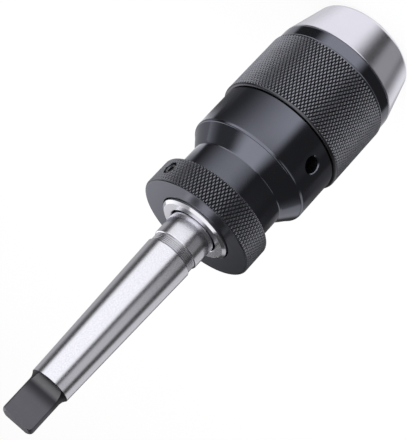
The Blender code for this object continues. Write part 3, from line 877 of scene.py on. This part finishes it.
class CHUCK_OT_collar(bpy.types.Operator):
    """Knurled rear grip collar and its set screw"""

    bl_idname = "chuck.collar"
    bl_label = "Grip collar"

    def execute(self, context):
        radius = radius_of("grip_collar")
        low, high = foot_of("grip_collar"), top_of("grip_collar")
        inner = radius - 3.45 * MM
        chamfer = 0.6 * MM
        wall = 3.0 * MM
        valley = radius - sizes().knurl_depth - 0.12 * MM
        ring = 14.2 * MM
        edge = 0.2 * MM
        profile = [
            (inner, low),
            (radius - chamfer, low),
            (valley, low + chamfer - edge),
            (valley, high - chamfer + edge),
            (radius - chamfer, high - 0.02 * MM),
            (radius - chamfer - 0.3 * MM, high),
            (ring + edge, high),
            (ring, high - edge),
            (ring, high - wall),
            (inner, high - wall),
        ]
        stock = turn(split_long(profile, 2.5 * MM), 204)
        knurl = knurl_band(radius, low + 0.3 * MM, high - 0.3 * MM, sizes().collar_knurl_count)
        slope_ends(knurl, radius, 0.5 * MM, low, high)
        place, start = screw_place()
        carved = []
        for part in (stock, knurl):
            hole = block(round_outline(SCREW_HOLE), inner - 1.0 * MM, radius + 3.0 * MM, place)
            carved.append(carve(part, [hole]))
        collar, teeth = carved
        merge_into(collar, teeth)
        finishes = [turned_black(), knurled_collar()]
        finish_piece("grip_ring", collar, finishes, "root", ["grip_collar"], sharp=22.0)
        self.make_screw(place, start, radius - 0.45 * MM)
        return {"FINISHED"}

    def make_screw(self, place, start, top):
        """Hexagon socket set screw with its chamfered end."""
        profile = [
            (0.0, start),
            (SCREW_RADIUS - 0.4 * MM, start),
            (SCREW_RADIUS, start + 0.4 * MM),
            (SCREW_RADIUS, top - 0.35 * MM),
            (SCREW_RADIUS - 0.35 * MM, top),
            (0.0, top),
        ]
        stock = turn(profile, 64)
        bmesh.ops.transform(stock, matrix=place, verts=stock.verts)
        socket = block(round_outline(1.35 * MM, 6), top - 2.2 * MM, top + 1.0 * MM, place)
        countersink = cone(place, top, 1.2 * MM, 1.9 * MM, 0.7 * MM)
        screw = carve(stock, [socket, countersink])
        finish_piece("collar_grub_screw", screw, screw_black(), "root", ["collar_set_screw"])


def slope_ends(mesh_data, radius, chamfer, low, high):
    """Press a knurl's ends down to a chamfer, so that the diamonds run out into it."""
    for vert in mesh_data.verts:
        depth = min(vert.co.z - low, high - vert.co.z)
        limit = radius - chamfer + max(depth, 0.0)
        if vert.co.xy.length > limit:
            move_out(vert, limit)


class CHUCK_OT_hub(bpy.types.Operator):
    """Steel hub with its bearing lip, bores and rear ring"""

    bl_idname = "chuck.hub"
    bl_label = "Hub"

    def execute(self, context):
        low, high = foot_of("screw_hub"), top_of("screw_hub")
        lip = radius_of("screw_hub")
        lip_top = low + 1.3 * MM
        cavity = HUB_RADIUS - 1.8 * MM
        spigot = HUB_RADIUS - 3.29 * MM
        ring = 13.85 * MM
        recess = 9.6 * MM
        thread_z = top_of("jaw_1") + 3.8 * MM
        stem = 7.9 * MM
        step_z = top_of("sleeve") + 16.0 * MM
        shelf = high - 5.0 * MM
        mouth = high - 3.0 * MM
        taper = 23.6 * MM
        bore = 8.166 * MM
        edge = 0.3 * MM
        chamfer = 0.85 * MM
        slant = 1.35 * chamfer
        soft = 0.15 * MM
        profile = [
            (cavity, low),
            (lip, low),
            (lip, lip_top),
            (HUB_RADIUS, lip_top),
            (HUB_RADIUS, step_z),
            (spigot, step_z),
            (spigot, shelf),
            (ring, shelf),
            *arc((ring - soft, high - chamfer), soft, 0.0, 40.0, 3),
            *arc((ring - slant, high - soft), soft, 40.0, 90.0, 3),
            (recess + edge, high),
            (recess, high - edge),
            (recess, mouth + edge),
            (recess - edge, mouth),
            (bore, mouth),
            (bore - taper / MORSE_RUN, mouth - taper),
            (stem, mouth - taper),
            (stem, thread_z),
            (cavity, thread_z),
        ]
        hub = turn(split_long(profile, 3.0 * MM))
        for face in hub.faces:
            middle = face.calc_center_median()
            reach = middle.xy.length
            face.material_index = 0 if middle.z > shelf and reach > recess + 0.1 * MM else 1
            if reach > ring - slant and high - chamfer < middle.z < high - 0.02 * MM:
                face.material_index = 2
        finishes = [hub_steel(), plain_black(), polished_rim()]
        finish_piece("hub_core", hub, finishes, "root", ["screw_hub"], sharp=20.0)
        return {"FINISHED"}


class CHUCK_OT_shank(bpy.types.Operator):
    """Morse taper shank with its groove, tang and tang radius"""

    bl_idname = "chuck.shank"
    bl_label = "Shank"

    def execute(self, context):
        low, high = foot_of("shank_arbor"), top_of("shank_arbor")
        ring_z = top_of("screw_hub")
        radius = 9.0 * MM
        groove_z = ring_z + 9.4 * MM
        taper_z = groove_z + 3.6 * MM
        gauge = 8.905 * MM
        slope = 1 / MORSE_RUN
        seat = ring_z - 2.7 * MM
        tang_z = high - TANG_LENGTH
        tang = 6.35 * MM
        fillet = 4.0 * MM
        drop = fillet - (gauge - (tang_z - taper_z) * slope - tang)
        turned = 180.0 + degrees(acos(drop / fillet))
        short = 7.866 * MM
        end = short - (ring_z - 3.0 * MM - low) * slope
        edge = 0.4 * MM
        corner = 1.3 * MM
        profile = [
            (0.0, low),
            (end - edge, low),
            (end, low + edge),
            (short, seat),
            (radius - edge, seat),
            (radius, seat + edge),
            (radius, groove_z - 0.35 * MM),
            (radius - 0.1 * MM, groove_z - 0.1 * MM),
            *self.groove(groove_z, taper_z),
            (gauge - 0.08 * MM, taper_z - 0.08 * MM),
            (gauge, taper_z + 0.15 * MM),
            *arc((tang + fillet, tang_z + sqrt(fillet ** 2 - drop ** 2)), fillet, turned, 180.0, 10),
            *arc((tang - corner, high - corner), corner, 0.0, 90.0, 10),
            (0.0, high),
        ]
        stock = turn(split_long(profile, 2.0 * MM))
        shank = carve(stock, self.flats(tang_z, high + 2.0 * MM, fillet))
        self.sort_faces(shank, groove_z, taper_z, tang_z, fillet)
        finishes = [ground_shank(), tang_scale_and_crease_shade(), turned_groove(), scoop_with_crease_shade()]
        finish_piece("morse_shank", shank, finishes, "root", ["shank_arbor"], sharp=24.0)
        return {"FINISHED"}

    def groove(self, low, high):
        """Outline of the groove below the taper, with its fine turned rings."""
        floor = 8.45 * MM
        step = (high - low - 0.6 * MM) / sizes().groove_rings
        outline = [(floor, low + 0.1 * MM)]
        for number in range(sizes().groove_rings):
            start = low + 0.3 * MM + number * step
            outline += [(floor, start), (floor, start + 0.55 * step)]
            outline.append((floor - 0.16 * MM, start + 0.78 * step))
        return [*outline, (floor, high - 0.35 * MM)]

    def flats(self, low, high, fillet):
        """Two cutters for the tang's flats, each with a round foot."""
        half = 3.15 * MM
        wide = 11.0 * MM
        sweep = arc((half + fillet, low + fillet), fillet, 180.0, 270.0, 24)
        side = [*sweep, (wide + fillet, low), (wide + fillet, high), (half, high)]
        upright = Matrix.Rotation(radians(90.0), 4, "X")
        places = [Matrix.Rotation(radians(TANG_TURN - 90.0 + facing), 4, "Z") for facing in (0.0, 180.0)]
        return [block(side, -wide, wide, place @ upright) for place in places]

    def sort_faces(self, mesh_data, groove_z, taper_z, tang_z, fillet):
        """Give the tang, its scoops and the groove their own finishes; the rest stays ground bright."""
        side = Vector((cos(radians(TANG_TURN)), sin(radians(TANG_TURN)), 0.0))
        for face in mesh_data.faces:
            height = face.calc_center_median().z
            if height > tang_z - 0.02 * MM:
                scoop = height < tang_z + 0.95 * fillet and abs(face.normal.dot(side)) < 0.2
                face.material_index = 3 if scoop else 1
            elif groove_z < height < taper_z - 0.2 * MM:
                face.material_index = 2


def softened(name, node, finish, body, width=0.15 * MM, extra=None):
    """Copy a solid of the construction with its edges broken, over the solid itself."""
    mesh_data = bmesh.new()
    mesh_data.from_mesh(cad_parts[node].data)
    bmesh.ops.remove_doubles(mesh_data, verts=mesh_data.verts, dist=NEAR)
    flat = [edge for edge in mesh_data.edges if edge.is_manifold and edge.calc_face_angle() < radians(0.4)]
    bmesh.ops.dissolve_edges(mesh_data, edges=flat, use_verts=True)
    crisp = [edge for edge in mesh_data.edges if edge.is_manifold and edge.calc_face_angle() > radians(30.0)]
    bmesh.ops.bevel(
        mesh_data,
        geom=crisp,
        offset=width,
        offset_type="OFFSET",
        affect="EDGES",
        segments=2,
        profile=0.5,
        material=-1,
        clamp_overlap=True,
    )
    if extra:
        merge_into(mesh_data, extra)
    finish_piece(name, mesh_data, finish, body, [node])


class CHUCK_OT_jaws(bpy.types.Operator):
    """Three jaws with broken edges"""

    bl_idname = "chuck.jaws"
    bl_label = "Jaws"

    def execute(self, context):
        for number, body in enumerate(("jaw_a", "jaw_b", "jaw_c"), start=1):
            softened(f"gripping_jaw_{number}", f"jaw_{number}", jaw_steel(), body, 0.12 * MM)
        return {"FINISHED"}


class CHUCK_OT_drive(bpy.types.Operator):
    """Jaw guide, drive screw and bearing"""

    bl_idname = "chuck.drive"
    bl_label = "Drive and bearing"

    def execute(self, context):
        steel = hardened_steel()
        softened("grooved_guide", "jaw_guide", steel, "turning_sleeve")
        softened("front_race", "lower_race", race_steel(), "root")
        softened("back_race", "upper_race", race_steel(), "turning_sleeve")
        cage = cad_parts["ball_cage"].data
        cage.materials.clear()
        cage.materials.append(cage_brass())
        softened("threaded_screw", "drive_screw", steel, "feed_screw", extra=self.thread())
        for number in range(1, 13):
            self.make_ball(f"ball_{number:02d}")
        return {"FINISHED"}

    def make_ball(self, node):
        """One smooth bearing ball over its faceted solid."""
        low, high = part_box(node)
        ball = bmesh.new()
        place = Matrix.Translation((low + high) / 2)
        bmesh.ops.create_icosphere(ball, subdivisions=4, radius=(high.z - low.z) / 2, matrix=place)
        finish_piece(f"bearing_{node}", ball, race_steel(), "bearing", [node], sharp=60.0)

    def thread(self):
        """Left-hand two-start thread on the drive screw's stem, inside the hub's bore."""
        low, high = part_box("drive_screw")
        root, crest = 7.55 * MM, 7.82 * MM
        head = 12.0 * MM
        plain_end = 1.0 * MM
        steps_per_turn = 48
        pitch = sizes().thread_pitch
        lead = 2 * pitch
        first = low.z + head
        turns = (high.z - plain_end - first - pitch) / lead
        steps = int(turns * steps_per_turn)
        ridge = bmesh.new()
        corners = [(root, 0.0), (root, 0.8 * pitch), (crest, 0.5 * pitch), (crest, 0.3 * pitch)]
        for side in (1.0, -1.0):
            verts = [ridge.verts.new((side * reach, 0.0, first + rise)) for reach, rise in corners]
            face = ridge.faces.new(verts)
            spin_round(ridge, [face, *face.edges, *verts], -turns * 2 * pi, steps, rise=turns * lead / steps)
        open_edges = [edge for edge in ridge.edges if edge.is_boundary]
        bmesh.ops.holes_fill(ridge, edges=open_edges, sides=0)
        bmesh.ops.recalc_face_normals(ridge, faces=ridge.faces)
        return ridge


# Stage

# Soft lamps: name, place, energy in watts, size.
LAMPS = (
    ("key_light", (-0.7, -0.6, 0.9), 9.0, 0.8),
    ("fill_light", (0.8, -0.5, 0.7), 5.0, 0.8),
    ("top_light", (0.0, 0.3, 1.2), 6.0, 0.9),
)

# The camera's sensor in millimetres, and the photograph's longer side in pixels.
SENSOR = 36.0
PHOTO_HEIGHT = 440.0

# Soft-edged cards in bands: the band's name, lower and upper height, and its cards.
# A card has a name, first and last azimuth, width of each soft side edge, and grey.
# Azimuths are degrees from the camera's side towards -X; heights are metres at the card's distance.
BANDS = (
    ("cone", 0.3, 2.3, (("wash", -110.0, -50.0, 10.0, 20.0, 0.12), ("main", -55.0, 13.0, 34.0, 34.0, 1.15))),
    ("cone", 0.3, 0.7, (("side", 125.0, 152.0, 50.0, 12.0, 0.5),)),
    ("face", 0.3, 2.3, (("side", -179.0, -120.0, 3.0, 50.0, 1.2),)),
    ("shank", -0.3, 0.3, (("main", -80.0, 12.0, 24.0, 16.0, 1.08),)),
    ("shank", -0.14, 0.06, (("side", 30.0, 70.0, 18.0, 14.0, 0.6),)),
    ("shank", -0.3, -0.14, (("foot", 30.0, 70.0, 18.0, 14.0, 0.24),)),
    ("shank", -0.3, 0.3, (("rim", 96.0, 150.0, 14.0, 14.0, 0.6), ("back", -178.0, -112.0, 4.0, 30.0, 0.4))),
    ("collar", -0.345, -0.3, (
        ("main", -76.0, 0.0, 80.0, 50.0, 0.9),
        ("back", -178.0, -126.0, 4.0, 30.0, 0.5),
    )),
    ("neck", -0.385, -0.345, (
        ("main", -76.0, -4.0, 80.0, 50.0, 0.9),
        ("rim", 130.0, 178.0, 12.0, 4.0, 0.35),
        ("back", -178.0, -126.0, 4.0, 12.0, 1.4),
    )),
    ("body", -0.475, -0.385, (
        ("wash", -112.0, -60.0, 8.0, 30.0, 0.1),
        ("main", -45.0, 12.0, 110.0, 20.0, 1.12),
        ("side", 60.0, 78.0, 12.0, 12.0, 0.1),
        ("rim", 108.0, 178.0, 10.0, 4.0, 0.12),
        ("back", -178.0, -112.0, 4.0, 8.0, 0.14),
    )),
    ("band", -0.68, -0.475, (
        ("main", -62.0, 20.0, 30.0, 24.0, 1.1),
        ("rim", 118.0, 178.0, 12.0, 4.0, 0.5),
        ("back", -178.0, -122.0, 4.0, 12.0, 0.6),
    )),
    ("nose", -2.5, -0.68, (
        ("main", -178.0, 0.0, 4.0, 50.0, 1.02),
        ("back", -178.0, -118.0, 4.0, 50.0, 0.72),
        ("side", 44.0, 96.0, 18.0, 18.0, 0.33),
        ("rim", 116.0, 178.0, 44.0, 4.0, 0.88),
    )),
)
CARDS = [(f"{band}_{card[0]}", low, high, *card[1:]) for band, low, high, cards in BANDS for card in cards]
CARD_RADIUS = 1.0
CARD_STEP = 0.002
PANEL_DEGREES = 4
FEATHER = 0.02
DRUM_RADIUS = CARD_RADIUS + 0.05
DRUM_LOW = -2.6
DRUM_HIGH = 2.4
DRUM_GREY = 0.06


class CHUCK_OT_stage(bpy.types.Operator):
    """Camera, floor, reflection cards and soft lights"""

    bl_idname = "chuck.stage"
    bl_label = "Stage"

    def execute(self, context):
        self.make_camera(context)
        self.make_floor()
        self.make_cards()
        self.make_lights(context)
        context.scene.view_settings.view_transform = "Standard"
        return {"FINISHED"}

    def make_camera(self, context):
        """Camera at the photograph's viewing angle, rolled as the photograph is."""
        studio = context.scene.chuck_studio
        data = bpy.data.cameras.new("camera")
        data.sensor_width = SENSOR
        data.sensor_height = SENSOR
        data.sensor_fit = "AUTO"
        data.lens = studio.focal_px / PHOTO_HEIGHT * SENSOR
        data.clip_start = 0.01
        data.clip_end = 20.0
        camera = bpy.data.objects.new("camera", data)
        context.scene.collection.objects.link(camera)
        place = Vector((0.0, -studio.camera_distance, studio.camera_height))
        target = Vector((studio.target_side, 0.0, studio.target_height))
        aim = (target - place).to_track_quat("-Z", "Y").to_matrix().to_4x4()
        camera.matrix_world = Matrix.Translation(place) @ aim @ Matrix.Rotation(studio.camera_roll, 4, "Z")
        context.scene.camera = camera

    def make_floor(self):
        """White floor that keeps the chuck's soft shadow and is clear from below, where the mouth faces."""
        mesh_data = bmesh.new()
        sunk = Matrix.Translation((0.0, 0.0, -0.05 * MM))
        bmesh.ops.create_grid(mesh_data, x_segments=1, y_segments=1, size=6.0, matrix=sunk)
        floor = new_object("floor", mesh_data)
        finish = Finish("white_floor")
        finish.shader.inputs["Metallic"].default_value = 0.0
        finish.roughness(0.9)
        finish.colour((0.9, 0.9, 0.9, 1.0))
        white = finish.node("ShaderNodeEmission", inputs={"Color": (1.0, 1.0, 1.0, 1.0), "Strength": 1.0})
        camera_ray = finish.node("ShaderNodeLightPath", output="Is Camera Ray")
        matte = Wire(finish, finish.shader.outputs[0])
        mixed = finish.node("ShaderNodeMixShader", inputs={0: camera_ray * 0.9, 1: matte, 2: white})
        underside = finish.node("ShaderNodeNewGeometry", output="Backfacing")
        clear = finish.node("ShaderNodeBsdfTransparent")
        finish.output(finish.node("ShaderNodeMixShader", inputs={0: underside, 1: mixed, 2: clear}))
        floor.data.materials.append(finish.material)
        floor.visible_glossy = False

    def make_cards(self):
        """A dark drum round the chuck, with soft-edged cards in front of it, that only reflections see."""
        drum = bent_panel("drum", -180.0, 180.0, DRUM_LOW, DRUM_HIGH, DRUM_RADIUS)
        drum.data.materials.append(plain_glow("drum_grey", DRUM_GREY))
        for number, (name, low, high, first, last, rise, fall, grey) in enumerate(CARDS):
            radius = CARD_RADIUS - CARD_STEP * number
            start, stop = max(first - rise / 2, -179.9), min(last + fall / 2, 179.9)
            card = bent_panel(name, start, stop, low - FEATHER, high + FEATHER, radius)
            card.data.materials.append(card_finish(name, low, high, first, last, rise, fall, grey))

    def make_lights(self, context):
        """Plain soft lamps and a white world, at half strength except to the camera and in reflections."""
        middle = Vector((0.0, 0.0, 0.08))
        for name, place, energy, size in LAMPS:
            data = bpy.data.lights.new(name, "AREA")
            data.energy = energy
            data.size = size
            lamp = bpy.data.objects.new(name, data)
            context.scene.collection.objects.link(lamp)
            lamp.location = place
            lamp.rotation_euler = (middle - Vector(place)).to_track_quat("-Z", "Y").to_euler()
            lamp.visible_glossy = False
            lamp.visible_camera = False
        world = bpy.data.worlds.new("studio")
        context.scene.world = world
        world.use_nodes = True
        nodes, link = world.node_tree.nodes, world.node_tree.links.new
        background = nodes["Background"]
        background.inputs["Color"].default_value = (1.0, 1.0, 1.0, 1.0)
        path = nodes.new("ShaderNodeLightPath")
        seen = nodes.new("ShaderNodeMath")
        seen.operation = "MAXIMUM"
        link(path.outputs["Is Camera Ray"], seen.inputs[0])
        link(path.outputs["Is Glossy Ray"], seen.inputs[1])
        strength = nodes.new("ShaderNodeMath")
        strength.operation = "MULTIPLY_ADD"
        link(seen.outputs[0], strength.inputs[0])
        strength.inputs[1].default_value = 0.5
        strength.inputs[2].default_value = 0.5
        link(strength.outputs[0], background.inputs["Strength"])


def bent_panel(name, first, last, low, high, radius):
    """An upright panel bent round the axis, from one azimuth to another."""
    mesh_data = bmesh.new()
    angle = radians(first)
    corner = (-radius * sin(angle), -radius * cos(angle))
    verts = [mesh_data.verts.new((*corner, height)) for height in (low, high)]
    edge = mesh_data.edges.new(verts)
    steps = max(2, int((last - first) / PANEL_DEGREES))
    spin_round(mesh_data, [*verts, edge], radians(first - last), steps)
    panel = new_object(name, mesh_data)
    panel.visible_camera = False
    panel.visible_diffuse = False
    panel.visible_shadow = False
    panel.visible_transmission = False
    return panel


def plain_glow(name, grey):
    """A panel that glows in one grey."""
    finish = Finish(name)
    glow = finish.node("ShaderNodeEmission", inputs={"Color": (grey, grey, grey, 1.0)})
    finish.output(glow)
    return finish.material


def card_finish(name, low, high, first, last, rise, fall, grey):
    """A glowing card that fades out at its edges."""
    finish = Finish(name)
    across, towards, height = finish.axes()
    azimuth = (across * -1.0).math("ARCTAN2", towards * -1.0)
    mask = finish.fade(azimuth, radians(first - rise / 2), radians(first + rise / 2))
    mask = mask * (1.0 - finish.fade(azimuth, radians(last - fall / 2), radians(last + fall / 2)))
    mask = mask * finish.fade(height, low - FEATHER, low + FEATHER)
    mask = mask * (1.0 - finish.fade(height, high - FEATHER, high + FEATHER))
    glow = finish.node("ShaderNodeEmission", inputs={"Color": (grey, grey, grey * 1.03, 1.0)})
    clear = finish.node("ShaderNodeBsdfTransparent")
    finish.output(finish.node("ShaderNodeMixShader", inputs={0: mask, 1: clear, 2: glow}))
    return finish.material


class CHUCK_PT_panel(bpy.types.Panel):
    """Lists the chuck's pieces and settings"""

    bl_idname = "CHUCK_PT_panel"
    bl_label = "Drill chuck"
    bl_space_type = "VIEW_3D"
    bl_region_type = "UI"
    bl_category = "Chuck"

    def draw(self, context):
        for operator in OPERATORS:
            self.layout.operator(operator.bl_idname)
        for group in GROUPS:
            box = self.layout.box()
            settings = getattr(context.scene, group)
            for name in settings.bl_rna.properties.keys():
                if name not in ("rna_type", "name"):
                    box.prop(settings, name)


OPERATORS = (
    CHUCK_OT_nose,
    CHUCK_OT_sleeve,
    CHUCK_OT_body,
    CHUCK_OT_collar,
    CHUCK_OT_hub,
    CHUCK_OT_shank,
    CHUCK_OT_jaws,
    CHUCK_OT_drive,
    CHUCK_OT_stage,
)
GROUPS = {"chuck_sizes": ChuckSizes, "chuck_colours": ChuckColours, "chuck_studio": StudioSizes}


def register():
    """Register the classes and hang the settings on the scene."""
    for name, group in GROUPS.items():
        bpy.utils.register_class(group)
        setattr(bpy.types.Scene, name, PointerProperty(type=group))
    for operator in OPERATORS:
        bpy.utils.register_class(operator)
    bpy.utils.register_class(CHUCK_PT_panel)


def unregister():
    """Take the settings and classes away again."""
    bpy.utils.unregister_class(CHUCK_PT_panel)
    for operator in reversed(OPERATORS):
        bpy.utils.unregister_class(operator)
    for name, group in GROUPS.items():
        delattr(bpy.types.Scene, name)
        bpy.utils.unregister_class(group)


def main():
    """Build the whole scene."""
    register()
    bpy.ops.chuck.nose()
    bpy.ops.chuck.sleeve()
    bpy.ops.chuck.body()
    bpy.ops.chuck.collar()
    bpy.ops.chuck.hub()
    bpy.ops.chuck.shank()
    bpy.ops.chuck.jaws()
    bpy.ops.chuck.drive()
    bpy.ops.chuck.stage()


if __name__ == "__main__":
    main()
